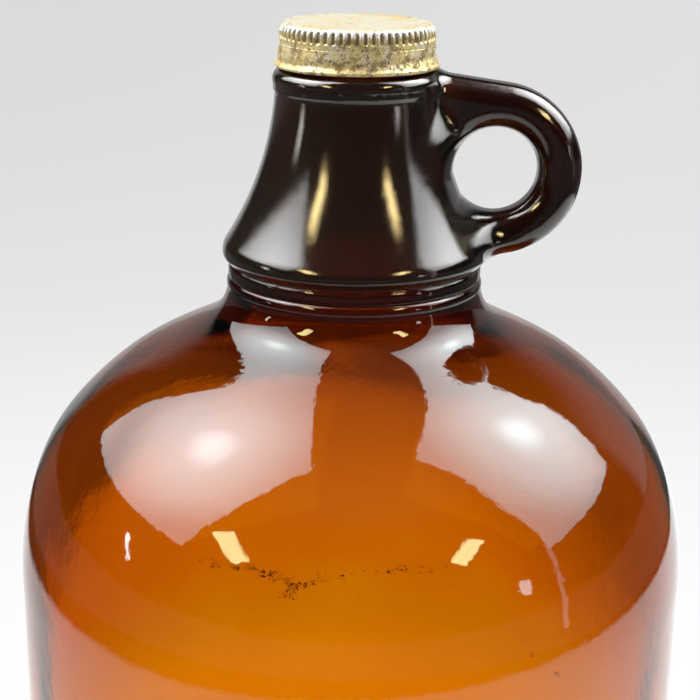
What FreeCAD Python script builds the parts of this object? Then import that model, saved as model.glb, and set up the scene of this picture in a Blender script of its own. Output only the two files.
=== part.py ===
import FreeCAD, Part
import math
import os

# One-gallon glass jug with a ring handle at its neck, and its tin screw cap.
# Millimetres and degrees. Origin at the middle of the base, on the surface the jug
# stands on. +Z up the jug's axis, +X towards the ring handle.

V = FreeCAD.Vector
axisUp = V(0, 0, 1)
axisSide = V(0, 1, 0)
centreLine = V(0, 0, 0)

# ---- body ----
bodyDiameter = 165.7
wallHeight = 160.0          # base to where the straight side ends
bodyWall = 3.2
heelRadius = 12.0
bearingWidth = 6.0          # flat ring that the jug stands on
pushUpHeight = 6.0          # hollow of the base
pushUpFlat = 8.0            # radius of its level middle
baseThickness = 6.0

# ---- shoulder, from the straight side in and up to the throat ----
throatRadius = 30.75
shoulderHeight = 70.0
collarWall = 7.6            # glass is thickest where the shoulder turns up
# each point: share of the way in, share of the way up, share of the collar's extra glass
shoulderShape = (
    (0.078, 0.343, 0.00),
    (0.170, 0.487, 0.00),
    (0.324, 0.627, 0.03),
    (0.574, 0.770, 0.12),
    (0.796, 0.856, 0.35),
    (0.944, 0.942, 0.72),
)

# ---- rings between the shoulder and the bell ----
lowRingHeight = 3.7
lowRingSwell = 0.2
stepHeight = 0.7
stepDepth = 0.25
ringHeight = 2.7
ringInset = 0.3             # the ring stands in from the throat
ringTaper = 0.15            # and leans in towards its top
ringSwell = 0.12
grooveDepth = 0.7
grooveHeight = 2.0
grooveWall = 8.5

# ---- bell-shaped neck ----
bellHeight = 39.1           # groove to the step under the bead
lipOverhang = 1.1           # the bell's lip stands out from the throat
lipRounding = 5.0           # where the bell's side turns over into its lip
lipUnderRounding = 2.2
lipUnderTurn = 65.0         # the lip turns in underneath by this angle
bellFlareRadius = 78.0      # hollow curve of the bell's side
bellFlareRise = 6.3         # that curve's centre stands this far above the bell's top
boreSwellHeight = 0.42      # share of the bell's height, at the bore's middle point
boreSwell = 0.36            # and how far the bore has opened there

# ---- finish that the cap screws on, and the bead below it ----
finishRadius = 17.3
finishHeight = 10.5
finishRounding = 1.6
finishWall = 3.3
neckStep = 1.9              # the bell's top stands out from the finish
stepRingHeight = 1.3
stepRingProud = 0.3
beadHeight = 3.9
beadProud = 0.8
beadShelf = 1.2             # flat on the bead's top, round the finish

# ---- ring handle ----
handleHoleRadius = 10.1
handleRingWidth = 10.4
handleThickness = 13.0
handleHoleClear = 3.8       # hole's near side to the bell's top radius
handleTopDrop = 0.7         # the arm's top under the bead's top, at the bead
handleTopSlope = 8.3        # the arm falls away from the bead
handleEdgeRounding = 5.0
handleBlend = 6.0           # hollow blend where the glass runs into the bell
handleBlendSink = 0.15      # the blend runs on this far under the bell's face
handleFootRadius = 14.0     # hollow curve under the ring
handleFootLean = 10.0       # that curve leaves the ring this far round from its lowest point
handleFootTurn = 50.0       # and turns down by this much

# ---- tin screw cap ----
tinThickness = 0.3
capClearance = 0.7          # skirt's inside to the finish
capRounding = 1.9           # from the flat panel out to the side
capRoundingHeight = 2.1
knurlPitch = 1.855
knurlBand = 3.7
knurlRadius = 0.5
knurlDepth = 0.42
capWaist = 0.3              # shallow groove under the knurls
skirtFlare = 0.5            # the skirt widens from the waist down to the curl
curlHeight = 1.24
curlProud = 0.65
capGap = 0.6                # curl's underside to the bead's top

# ---- worked out from the sizes above ----
bodyRadius = bodyDiameter / 2
ringRadius = throatRadius - ringInset
lipRadius = throatRadius + lipOverhang
neckRadius = finishRadius + neckStep
boreRadius = finishRadius - finishWall
grooveRadius = ringRadius - ringTaper - grooveDepth
boreAtGroove = grooveRadius - grooveWall
throatZ = wallHeight + shoulderHeight
lowRingTopZ = throatZ + lowRingHeight
stepTopZ = lowRingTopZ + stepHeight
ringTopZ = stepTopZ + ringHeight
grooveTopZ = ringTopZ + grooveHeight
neckTopZ = grooveTopZ + bellHeight
stepRingTopZ = neckTopZ + stepRingHeight
beadTopZ = stepRingTopZ + beadHeight
lipTopZ = beadTopZ + finishHeight
capSide = finishRadius + capClearance + tinThickness
capTopZ = lipTopZ + tinThickness
capRimZ = beadTopZ + capGap
capShoulderZ = capTopZ - capRoundingHeight
handleOuter = handleHoleRadius + handleRingWidth
handleX = neckRadius + handleHoleClear + handleHoleRadius
handleSlopeRun = math.tan(math.radians(handleTopSlope))
handleTopAtRing = handleOuter / math.cos(math.radians(handleTopSlope))
handleTopFall = (handleX - neckRadius - beadProud) * handleSlopeRun
handleZ = beadTopZ - handleTopDrop - handleTopFall - handleTopAtRing


def point(radius, height):
    return V(radius, 0, height)


def around(centre, radius, angle):
    turn = math.radians(angle)
    return centre + V(math.cos(turn), 0, math.sin(turn)) * radius


def line(start, end):
    return Part.LineSegment(start, end).toShape()


def through(start, middle, end):
    return Part.Arc(start, middle, end).toShape()


def arc(centre, radius, fromAngle, toAngle):
    return through(around(centre, radius, fromAngle),
                   around(centre, radius, (fromAngle + toAngle) / 2),
                   around(centre, radius, toAngle))


def bulge(start, end, height):
    # arc that stands proud of its chord, to the right of the way from start to end
    chord = end - start
    side = V(chord.z, 0, -chord.x).normalize()
    return through(start, (start + end) * 0.5 + side * height, end)


def dome(edge, rise):
    # level middle of the base, and the shallow arc that falls from it to the edge
    top = edge.z + rise
    run = edge.x - pushUpFlat
    radius = (run ** 2 + rise ** 2) / (2 * rise)
    fall = radius - math.sqrt(radius ** 2 - (run / 2) ** 2)
    middle = point(pushUpFlat + run / 2, top - fall)
    return [
        line(point(0, top), point(pushUpFlat, top)),
        through(point(pushUpFlat, top), middle, edge),
    ]


def smooth(points):
    # curve through the points, upright at both ends
    curve = Part.BSplineCurve()
    curve.interpolate(Points=points, InitialTangent=axisUp, FinalTangent=axisUp)
    return curve.toShape()


def turned(edges):
    # solid of revolution of a closed half section about the jug's axis
    face = Part.Face(Part.Wire(Part.__sortEdges__(edges)))
    solid = face.revolve(centreLine, axisUp, 360)
    if solid.Volume < 0:
        solid.reverse()
    return solid


def shoulderOutside():
    run = bodyRadius - throatRadius
    return [point(bodyRadius - across * run, wallHeight + up * shoulderHeight)
            for across, up, _ in shoulderShape]


def shoulderInside():
    # the outside points moved in, square to the curve, by the glass there
    outer = [point(bodyRadius, wallHeight)] + shoulderOutside() + [point(throatRadius, throatZ)]
    inner = []
    for i, (_, _, share) in enumerate(shoulderShape):
        way = outer[i + 2] - outer[i]
        inward = V(-way.z, 0, way.x).normalize()
        inner.append(outer[i + 1] + inward * (bodyWall + share * (collarWall - bodyWall)))
    return inner


def bellCentre():
    level = math.sqrt(bellFlareRadius ** 2 - bellFlareRise ** 2)
    return point(neckRadius + level, neckTopZ + bellFlareRise)


def lipCentre():
    # centre of the round that touches the bell's hollow side
    centre = bellCentre()
    x = lipRadius - lipRounding
    drop = math.sqrt((bellFlareRadius + lipRounding) ** 2 - (centre.x - x) ** 2)
    return point(x, centre.z - drop)


def bellRadius(height):
    # bell's outside radius, and the groove's below its lip
    if height < lipCentre().z:
        return grooveRadius
    return bellCentre().x - math.sqrt(bellFlareRadius ** 2 - (height - bellCentre().z) ** 2)


def bellSide():
    # lip turned under, round over the lip, and the hollow side up to the neck's top
    flare = bellCentre()
    lip = lipCentre()
    under = point(lipRadius - lipUnderRounding, lip.z)
    toFlare = flare - lip
    turn = math.degrees(math.atan2(toFlare.z, toFlare.x))
    flareEnd = 180 + math.degrees(math.asin(bellFlareRise / bellFlareRadius))
    return [
        arc(under, lipUnderRounding, -lipUnderTurn, 0),
        arc(lip, lipRounding, 0, turn),
        arc(flare, bellFlareRadius, 180 + turn, flareEnd),
    ], around(under, lipUnderRounding, -lipUnderTurn)


def glassOutside():
    heelX = bodyRadius - heelRadius
    footInner = point(heelX - bearingWidth, 0)
    throat = point(throatRadius, throatZ)
    lowRing = point(throatRadius - stepDepth, lowRingTopZ)
    ringFoot = point(ringRadius, stepTopZ)
    ringHead = point(ringRadius - ringTaper, ringTopZ)
    bell, bellUnder = bellSide()
    groove = point(grooveRadius, (ringHead.z + bellUnder.z) / 2)
    neckTop = point(neckRadius, neckTopZ)
    stepRing = point(neckRadius + stepRingProud, stepRingTopZ)
    beadTop = point(finishRadius + beadShelf, beadTopZ)
    lipEdge = point(finishRadius - finishRounding, lipTopZ)
    return [
        *dome(footInner, pushUpHeight),
        line(footInner, point(heelX, 0)),
        arc(point(heelX, heelRadius), heelRadius, -90, 0),
        line(point(bodyRadius, heelRadius), point(bodyRadius, wallHeight)),
        smooth([point(bodyRadius, wallHeight)] + shoulderOutside() + [throat]),
        bulge(throat, lowRing, lowRingSwell),
        bulge(lowRing, ringFoot, -stepDepth),
        bulge(ringFoot, ringHead, ringSwell),
        through(ringHead, groove, bellUnder),
        *bell,
        bulge(neckTop, stepRing, stepRingProud),
        bulge(stepRing, beadTop, beadProud),
        line(beadTop, point(finishRadius, beadTopZ)),
        line(point(finishRadius, beadTopZ), point(finishRadius, lipTopZ - finishRounding)),
        arc(point(lipEdge.x, lipTopZ - finishRounding), finishRounding, 0, 90),
        line(lipEdge, point(0, lipTopZ)),
        line(point(0, lipTopZ), point(0, pushUpHeight)),
    ]


def glassInside():
    radius = bodyRadius - bodyWall
    floorEdge = point(radius - heelRadius, baseThickness)
    heelTop = point(radius, baseThickness + heelRadius)
    side = point(radius, wallHeight)
    boreFoot = point(boreRadius, stepRingTopZ)
    opened = boreRadius + (boreAtGroove - boreRadius) * boreSwell
    bore = [
        point(throatRadius - collarWall, throatZ),
        point(boreAtGroove, ringTopZ),
        point(opened, grooveTopZ + bellHeight * boreSwellHeight),
        boreFoot,
    ]
    above = lipTopZ + finishHeight
    return [
        *dome(floorEdge, pushUpHeight),
        arc(point(floorEdge.x, heelTop.z), heelRadius, -90, 0),
        line(heelTop, side),
        smooth([side] + shoulderInside() + bore),
        line(boreFoot, point(boreRadius, above)),
        line(point(boreRadius, above), point(0, above)),
        line(point(0, above), point(0, pushUpHeight + baseThickness)),
    ]


def handleSideView():
    # ring, the arm along its top and the hollow foot below it, with the finger hole,
    # and the curves of that outline that get rounded
    centre = point(handleX, handleZ)
    armEnd = around(centre, handleOuter, 90 - handleTopSlope)
    armStart = armEnd + V(-1, 0, handleSlopeRun) * (armEnd.x - boreRadius)
    lean = handleFootLean - 90
    footCentre = around(centre, handleOuter + handleFootRadius, lean)
    footEnd = around(footCentre, handleFootRadius, 180 + lean + handleFootTurn)
    inside = point(boreRadius, footEnd.z)
    ring = arc(centre, handleOuter, lean, 90 - handleTopSlope)
    foot = arc(footCentre, handleFootRadius, 180 + lean, 180 + lean + handleFootTurn)
    arm = line(armStart, armEnd)
    hole = Part.makeCircle(handleHoleRadius, centre, axisSide)
    outline = [ring, foot, line(footEnd, inside), line(inside, armStart), arm]
    side = Part.Face(Part.Wire(Part.__sortEdges__(outline)))
    return side.cut(Part.Face(Part.Wire(hole))), [ring, foot, arm, hole]


def handlePlan(height):
    # level cut through the handle: flat sides that flare out to meet the bell
    half = handleThickness / 2
    bell = bellRadius(height) - handleBlendSink
    reach = math.sqrt((bell + handleBlend) ** 2 - (half + handleBlend) ** 2)
    hollow = V(reach, half + handleBlend, height)
    onSide = V(reach, half, height)
    onBell = V(hollow.x, hollow.y, 0) * (bell / (bell + handleBlend)) + V(0, 0, height)
    way = ((onSide - hollow).normalize() + (onBell - hollow).normalize()).normalize()
    middle = hollow + way * handleBlend
    far = V(handleX + 2 * handleOuter, half, height)
    farTwin, sideTwin, middleTwin, bellTwin = (
        V(spot.x, -spot.y, spot.z) for spot in (far, onSide, middle, onBell))
    return Part.Wire([
        line(far, onSide),
        through(onSide, middle, onBell),
        line(onBell, bellTwin),
        through(bellTwin, middleTwin, sideTwin),
        line(sideTwin, farTwin),
        line(farTwin, far),
    ])


def followsOutline(edge, outline):
    # true for an edge on either side of the handle that lies along the outline in side view
    onLine = 1e-3
    span = edge.LastParameter - edge.FirstParameter
    for share in (0.1, 0.5, 0.9):
        spot = edge.valueAt(edge.FirstParameter + span * share)
        seen = Part.Vertex(V(spot.x, 0, spot.z))
        away = min(seen.distToShape(curve)[0] for curve in outline)
        if away > onLine or abs(spot.y) < handleThickness / 4:
            return False
    return True


def makeHandle():
    # side view and plan crossed, then every outer edge rounded to a full section
    side, outline = handleSideView()
    width = 4 * handleThickness
    plate = side.extrude(axisSide * width)
    plate.translate(axisSide * (-width / 2))
    cuts = 6
    low = side.BoundBox.ZMin - handleBlend
    step = (side.BoundBox.ZMax + handleBlend - low) / cuts
    plan = Part.makeLoft([handlePlan(low + step * i) for i in range(cuts + 1)], True, False)
    handle = plate.common(plan)
    edges = [edge for edge in handle.Edges if followsOutline(edge, outline)]
    slimmest = min(handleThickness, handleRingWidth)
    return handle.makeFillet(min(handleEdgeRounding, 0.48 * slimmest), edges)


def makeJug():
    underCap = Part.makeCylinder(bodyRadius, finishHeight, V(0, 0, beadTopZ))
    handle = makeHandle().cut(underCap)
    glass = turned(glassOutside()).fuse(handle).cut(turned(glassInside()))
    return glass.removeSplitter()


def capSection(inset):
    # half section of the cap: its outside with no inset, its inside with the tin's thickness
    top = capTopZ - inset
    side = capSide - inset
    waistZ = capShoulderZ - knurlBand
    across = capRounding - inset
    rise = top - capShoulderZ
    panel = point(side - across, top)
    lean = math.radians(45)
    corner = point(panel.x + across * math.cos(lean), capShoulderZ + rise * math.sin(lean))
    knurlFoot = point(side, waistZ + 2 * capWaist)
    waistFoot = point(side, waistZ - 2 * capWaist)
    skirt = point(side + skirtFlare, capRimZ + curlHeight)
    wall = [
        line(point(0, top), panel),
        through(panel, corner, point(side, capShoulderZ)),
        line(point(side, capShoulderZ), knurlFoot),
        through(knurlFoot, point(side - capWaist, waistZ), waistFoot),
        line(waistFoot, skirt),
    ]
    if inset:
        low = point(skirt.x, beadTopZ)
        wall.append(line(skirt, low))
    else:
        low = point(skirt.x, capRimZ)
        wall.append(through(skirt, point(skirt.x + curlProud, capRimZ + curlHeight / 2), low))
    return wall + [line(low, point(0, low.z)), line(point(0, low.z), point(0, top))]


def knurls(inset):
    # upright round-ended presses in the cap's side, as many as the pitch gives,
    # with the cap's seam between two of them
    radius = knurlRadius + inset
    reach = capSide + knurlRadius - knurlDepth
    top = V(reach, 0, capShoulderZ - knurlRadius)
    foot = top - axisUp * (knurlBand - 2 * capWaist - 2 * knurlRadius)
    press = Part.makeCylinder(radius, top.z - foot.z, foot)
    press = press.fuse([Part.makeSphere(radius, top), Part.makeSphere(radius, foot)])
    count = round(2 * math.pi * capSide / knurlPitch)
    presses = []
    for i in range(count):
        each = press.copy()
        each.rotate(centreLine, axisUp, 360 * (i + 0.5) / count)
        presses.append(each)
    return Part.makeCompound(presses)


def makeCap():
    outside = turned(capSection(0)).cut(knurls(0))
    inside = turned(capSection(tinThickness)).cut(knurls(tinThickness))
    return outside.cut(inside)


os.makedirs("parts", exist_ok=True)
for node, solid in (("jug", makeJug()), ("cap", makeCap())):
    solid.exportStep("parts/" + node + ".step")
    print(node, "valid:", solid.isValid(), "solids:", len(solid.Solids),
          "volume:", round(solid.Volume), "top:", round(solid.BoundBox.ZMax, 2))
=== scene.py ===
import bpy
import math
import numpy as np
from mathutils import Matrix, Vector


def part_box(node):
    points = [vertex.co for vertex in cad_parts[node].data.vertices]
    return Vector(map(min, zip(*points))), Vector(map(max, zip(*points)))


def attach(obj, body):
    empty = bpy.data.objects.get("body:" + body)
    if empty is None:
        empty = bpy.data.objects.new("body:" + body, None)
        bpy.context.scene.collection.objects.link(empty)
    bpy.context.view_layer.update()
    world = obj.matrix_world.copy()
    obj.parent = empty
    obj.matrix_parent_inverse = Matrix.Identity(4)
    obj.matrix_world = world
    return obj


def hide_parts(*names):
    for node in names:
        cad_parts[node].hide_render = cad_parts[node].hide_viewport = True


# Amber gallon jug with a ring handle, and its worn tin cap.
# Outlines are worked out in millimetres, objects are made in metres.

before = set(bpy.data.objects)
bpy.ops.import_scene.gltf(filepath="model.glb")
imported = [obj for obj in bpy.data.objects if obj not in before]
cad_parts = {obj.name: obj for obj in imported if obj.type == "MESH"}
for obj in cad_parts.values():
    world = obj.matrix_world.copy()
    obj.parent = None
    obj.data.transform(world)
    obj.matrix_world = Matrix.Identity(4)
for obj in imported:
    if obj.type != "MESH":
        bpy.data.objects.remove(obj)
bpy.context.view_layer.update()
jugLow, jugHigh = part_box("jug")
capLow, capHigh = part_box("cap")
toMm = 1000.0
rng = np.random.default_rng(7)


def newObject(name, data):
    made = bpy.data.objects.new(name, data)
    bpy.context.scene.collection.objects.link(made)
    return made


def makePiece(name, verts, faces, material):
    mesh = bpy.data.meshes.new(name)
    mesh.from_pydata((np.asarray(verts) / toMm).tolist(), [], faces)
    mesh.validate()
    mesh.shade_smooth()
    mesh.materials.append(material)
    piece = newObject(name, mesh)
    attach(piece, "root")
    print(name + ":", len(verts), "vertices")
    return piece


def makeSheet(name, corners, material):
    # flat sheet of the stage
    mesh = bpy.data.meshes.new(name)
    mesh.from_pydata([(x, y, 0) for x, y in corners], [], [(0, 1, 2, 3)])
    mesh.materials.append(material)
    sheet = newObject(name, mesh)
    return sheet


def newMaterial(name):
    material = bpy.data.materials.new(name)
    material.use_nodes = True
    tree = material.node_tree
    tree.nodes.clear()
    return material, tree


def node(near, kind, **values):
    # near is the tree, or a node or socket in it
    made = near.id_data.nodes.new(kind)
    for key, value in values.items():
        if hasattr(made, key):
            setattr(made, key, value)
        else:
            made.inputs[key.replace("_", " ")].default_value = value
    return made


def wire(start, end):
    end.id_data.links.new(start, end)


def separate(place):
    made = node(place, "ShaderNodeSeparateXYZ")
    wire(place, made.inputs[0])
    return [made.outputs[axis] for axis in "XYZ"]


def showSurface(shader, kind="ShaderNodeOutputMaterial"):
    output = node(shader, kind)
    wire(shader.outputs[0], output.inputs["Surface"])
    return output


def shine(strength, kind="ShaderNodeEmission"):
    made = node(strength, kind)
    wire(strength, made.inputs["Strength"])
    return made


def bump(depth, height, below=None, strength=1.0):
    made = node(height, "ShaderNodeBump", Strength=strength, Distance=depth)
    wire(height, made.inputs["Height"])
    if below is not None:
        wire(below, made.inputs["Normal"])
    return made.outputs["Normal"]


def noiseTexture(place, scale, detail=3.0, roughness=0.5):
    made = node(place, "ShaderNodeTexNoise", Scale=scale, Detail=detail, Roughness=roughness)
    wire(place, made.inputs["Vector"])
    return made.outputs["Fac"]


def spread(value, low, high, outLow=0.0, outHigh=1.0):
    # low..high becomes outLow..outHigh, held at its ends
    made = node(value, "ShaderNodeMapRange", interpolation_type="SMOOTHSTEP",
                From_Min=low, From_Max=high, To_Min=outLow, To_Max=outHigh)
    wire(value, made.inputs["Value"])
    return made.outputs["Result"]


def maths(operation, *values):
    # values are numbers or sockets
    sockets = [value for value in values if isinstance(value, bpy.types.NodeSocket)]
    made = node(sockets[0], "ShaderNodeMath", operation=operation)
    for socket, value in zip(made.inputs, values):
        if isinstance(value, bpy.types.NodeSocket):
            wire(value, socket)
        else:
            socket.default_value = value
    return made.outputs["Value"]


def times(first, second):
    return maths("MULTIPLY", first, second)


def plus(first, second):
    return maths("ADD", first, second)


def minus(first, second):
    return maths("SUBTRACT", first, second)


def greater(first, second):
    return maths("MAXIMUM", first, second)


def objectPlace(tree):
    return node(tree, "ShaderNodeTexCoord").outputs["Object"]


def reachFrom(place, middle=(0.0, 0.0), level=0.0):
    # distance from a point at a stated height
    made = node(place, "ShaderNodeVectorMath", operation="DISTANCE")
    wire(place, made.inputs[0])
    made.inputs[1].default_value = (*middle, level)
    return made.outputs["Value"]


def mixColour(share, first, second):
    made = node(share, "ShaderNodeMix", data_type="RGBA")
    wire(share, made.inputs["Factor"])
    for socket, value in ((made.inputs[6], first), (made.inputs[7], second)):
        if isinstance(value, tuple):
            socket.default_value = (*value, 1.0)
        else:
            wire(value, socket)
    return made.outputs[2]


def arcLine(centre, radius, fromAngle, toAngle, count):
    turn = np.radians(np.linspace(fromAngle, toAngle, count))
    return np.column_stack([centre[0] + radius * np.cos(turn), centre[1] + radius * np.sin(turn)])


def straightLine(start, end, count):
    share = np.linspace(0, 1, count)[:, None]
    return np.array(start) * (1 - share) + np.array(end) * share


def bulgeLine(start, end, height, count):
    # shallow curve that stands proud of its chord, to the right of the way
    share = np.linspace(0, 1, count)[:, None]
    chord = np.array(end) - np.array(start)
    side = np.array([chord[1], -chord[0]]) / np.hypot(*chord)
    return straightLine(start, end, count) + side * height * 4 * share * (1 - share)


def uprightCurve(points, count):
    # cubic curve through the points, upright at both ends
    points = np.array(points, float)
    gap = np.hypot(*np.diff(points, axis=0).T)
    total = len(points)
    system = np.eye(total)
    wanted = np.zeros((total, 2))
    wanted[[0, -1]] = np.array([0, 1.0]) * np.sign(points[-1, 1] - points[0, 1])
    for i in range(1, total - 1):
        system[i, i - 1:i + 2] = (1 / gap[i - 1], 2 * (1 / gap[i - 1] + 1 / gap[i]), 1 / gap[i])
        wanted[i] = 3 * ((points[i] - points[i - 1]) / gap[i - 1] ** 2
                         + (points[i + 1] - points[i]) / gap[i] ** 2)
    way = np.linalg.solve(system, wanted)
    along = np.linspace(0, gap.sum(), count)
    start = np.concatenate([[0], np.cumsum(gap)])
    i = np.clip(np.searchsorted(start, along, side="right") - 1, 0, total - 2)
    t = ((along - start[i]) / gap[i])[:, None]
    run = gap[i][:, None]
    return ((2 * t ** 3 - 3 * t ** 2 + 1) * points[i] + (t ** 3 - 2 * t ** 2 + t) * run * way[i]
            + (3 * t ** 2 - 2 * t ** 3) * points[i + 1] + (t ** 3 - t ** 2) * run * way[i + 1])


def chain(*lines):
    # lines end to end, each joint kept once
    return np.vstack([lines[0]] + [line[1:] for line in lines[1:]])


jug = {
    "wall": 3.2,
    "heel": 12.0,
    "bearing": 6.0,
    "pushUp": 6.0,
    "pushUpFlat": 8.0,
    "base": 6.0,
    "throat": 30.75,
    "shoulderHeight": 71.8,
    "collarWall": 7.6,
    # share of the way in, share of the way up, share of the collar's extra glass
    "shoulder": ((0.078, 0.334, 0.0), (0.170, 0.475, 0.0), (0.324, 0.611, 0.03),
                 (0.546, 0.742, 0.07), (0.856, 0.860, 0.20), (0.951, 0.910, 0.50)),
    "lowRing": 1.9,
    "lowRingSwell": 0.2,
    "step": 0.7,
    "stepDepth": 0.25,
    "ring": 2.7,
    "ringRadius": 30.45,
    "ringTaper": 0.15,
    "ringSwell": 0.12,
    "groove": 2.0,
    "grooveDepth": 0.7,
    "grooveWall": 8.5,
    "bellHeight": 39.1,
    "bellLip": 31.85,
    "lipRound": 5.0,
    "lipUnder": 2.2,
    "lipUnderTurn": 65.0,
    "bellFlare": 78.0,
    "bellFlareRise": 6.3,
    "boreSwellHeight": 0.42,    # share of the bell's height where the bore swells
    "boreSwell": 0.36,
    "neck": 19.2,
    "stepRing": 1.3,
    "stepRingProud": 0.3,
    "bead": 3.9,
    "beadProud": 0.8,
    "beadShelf": 1.2,
    "finish": 17.3,
    "finishHeight": 10.5,
    "finishRound": 1.6,
    "lipDish": 0.15,
    "bore": 14.0,
    "beadFillet": 0.7,
    "finishFillet": 0.5,
    "wallWave": 0.35,       # how much the blown inside wanders
    "wallWaveLength": 46.0,
    "skinWave": 0.035,      # and the moulded outside
    "skinWaveLength": 30.0,
    "waveStretch": 0.55,    # under 1 makes the inside's waves taller than wide
    "waveStarts": (8.0, 30.0),
    "waveStops": 8.0,       # below the bead's top
    "wallSeed": 3,
    "skinSeed": 5,
    "segments": 288,
    "neckFrom": 0.35,       # share of the ring's height where the modelled neck starts
    "neckPast": 2.5,        # how far up the finish it goes, under the cap
    "overlap": 0.4,         # room for the stitching between neck and lathed glass
}

# points along each stretch of the outline
outlineCount = {
    "middle": 5,
    "dome": 24,
    "foot": 6,
    "heel": 20,
    "wall": 44,
    "shoulder": 90,
    "lowRing": 14,
    "step": 8,
    "ring": 60,
    "neck": 240,
    "finish": 8,
    "finishRound": 10,
    "lip": 8,
    "bore": 10,
    "inside": 170,
}

handle = {
    "hole": 10.1,
    "width": 10.4,
    "thick": 13.0,
    "round": 5.0,
    "clear": 3.8,
    "topDrop": 0.7,
    "topSlope": 8.3,
    "foot": 14.0,
    "footLean": 10.0,
    "blend": 9.0,           # how softly the glass runs from the handle into the bell
    "blendAtRing": 1.0,
    "blendAtBead": 2.5,
    "blendRise": 5.0,       # above the groove, where the blend is full
    "beadBlendLow": 12.0,   # below the neck's top, where it starts to tighten
    "beadBlendHigh": 1.0,
    "holeSoftness": 0.85,
    "seam": 0.10,           # parting line left by the mould
    "seamWidth": 0.55,
    "grid": 0.62,           # cell of the net that the neck is made from
    "gridReach": 0.42,      # how far the net reaches, as a share of the body's radius
    "gridMargin": 2.0,
}

bodyRadius = -jugLow.x * toMm
lipTop = jugHigh.z * toMm
beadTop = lipTop - jug["finishHeight"]
stepRingTop = beadTop - jug["bead"]
neckTop = stepRingTop - jug["stepRing"]
grooveTop = neckTop - jug["bellHeight"]
ringTop = grooveTop - jug["groove"]
stepTop = ringTop - jug["ring"]
lowRingTop = stepTop - jug["step"]
throatTop = lowRingTop - jug["lowRing"]
wallTop = throatTop - jug["shoulderHeight"]
joinLow = stepTop + jug["neckFrom"] * jug["ring"]
joinHigh = beadTop + jug["neckPast"]


def shoulderPoints():
    run = bodyRadius - jug["throat"]
    outer = [(bodyRadius, wallTop)]
    for across, up, _ in jug["shoulder"]:
        outer.append((bodyRadius - across * run, wallTop + up * jug["shoulderHeight"]))
    outer.append((jug["throat"], throatTop))
    inner = []
    for i, (_, _, share) in enumerate(jug["shoulder"]):
        way = np.array(outer[i + 2]) - np.array(outer[i])
        square = np.array([-way[1], way[0]]) / np.hypot(*way)
        wall = jug["wall"] + share * (jug["collarWall"] - jug["wall"])
        inner.append(tuple(np.array(outer[i + 1]) + square * wall))
    return outer, inner


def bellLines(count):
    # lip turned under, round over the lip, hollow side
    level = math.sqrt(jug["bellFlare"] ** 2 - jug["bellFlareRise"] ** 2)
    flare = np.array([jug["neck"] + level, neckTop + jug["bellFlareRise"]])
    lipX = jug["bellLip"] - jug["lipRound"]
    drop = math.sqrt((jug["bellFlare"] + jug["lipRound"]) ** 2 - (flare[0] - lipX) ** 2)
    lip = np.array([lipX, flare[1] - drop])
    turn = math.degrees(math.atan2(flare[1] - lip[1], flare[0] - lip[0]))
    flareEnd = 180 + math.degrees(math.asin(jug["bellFlareRise"] / jug["bellFlare"]))
    under = (jug["bellLip"] - jug["lipUnder"], lip[1])
    return [
        arcLine(under, jug["lipUnder"], -jug["lipUnderTurn"], 0, count),
        arcLine(lip, jug["lipRound"], 0, turn, count),
        arcLine(flare, jug["bellFlare"], 180 + turn, flareEnd, 2 * count),
    ]


def domeLine(edge, rise, count):
    # level middle, then a shallow fall to the edge, from the axis outwards
    run = edge[0] - jug["pushUpFlat"]
    radius = (run ** 2 + rise ** 2) / (2 * rise)
    out = np.linspace(0, run, count)
    fall = radius - np.sqrt(radius ** 2 - out ** 2)
    top = edge[1] + rise
    middle = straightLine((0.0, top), (jug["pushUpFlat"], top), outlineCount["middle"])
    return chain(middle, np.column_stack([jug["pushUpFlat"] + out, top - fall]))


def ringLine(count):
    foot = (jug["ringRadius"], stepTop)
    head = (jug["ringRadius"] - jug["ringTaper"], ringTop)
    return bulgeLine(foot, head, jug["ringSwell"], count)


def outsideBelow():
    # middle of the base, out and up to the ring
    count = outlineCount
    heelX = bodyRadius - jug["heel"]
    footInner = (heelX - jug["bearing"], 0.0)
    throat = (jug["throat"], throatTop)
    lowRing = (jug["throat"] - jug["stepDepth"], lowRingTop)
    ringFoot = (jug["ringRadius"], stepTop)
    ring = ringLine(count["ring"])
    return chain(
        domeLine(footInner, jug["pushUp"], count["dome"]),
        straightLine(footInner, (heelX, 0.0), count["foot"]),
        arcLine((heelX, jug["heel"]), jug["heel"], -90, 0, count["heel"]),
        straightLine((bodyRadius, jug["heel"]), (bodyRadius, wallTop), count["wall"]),
        uprightCurve(shoulderPoints()[0], count["shoulder"]),
        bulgeLine(throat, lowRing, jug["lowRingSwell"], count["lowRing"]),
        bulgeLine(lowRing, ringFoot, -jug["stepDepth"], count["step"]),
        ring[ring[:, 1] < joinLow - jug["overlap"]][::3],
    )


def neckLine():
    # radius over height, from the ring to the bead's top, close enough to follow smoothly
    fine = outlineCount["neck"]
    bell = bellLines(fine)
    ringHead = (jug["ringRadius"] - jug["ringTaper"], ringTop)
    groove = bulgeLine(ringHead, tuple(bell[0][0]), -jug["grooveDepth"], fine)
    stepRing = (jug["neck"] + jug["stepRingProud"], stepRingTop)
    bead = bulgeLine(stepRing, (jug["finish"] + jug["beadShelf"], beadTop), jug["beadProud"], fine)
    below = bulgeLine((jug["neck"], neckTop), stepRing, jug["stepRingProud"], fine)
    return chain(ringLine(fine), groove, *bell, below, bead)


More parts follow.
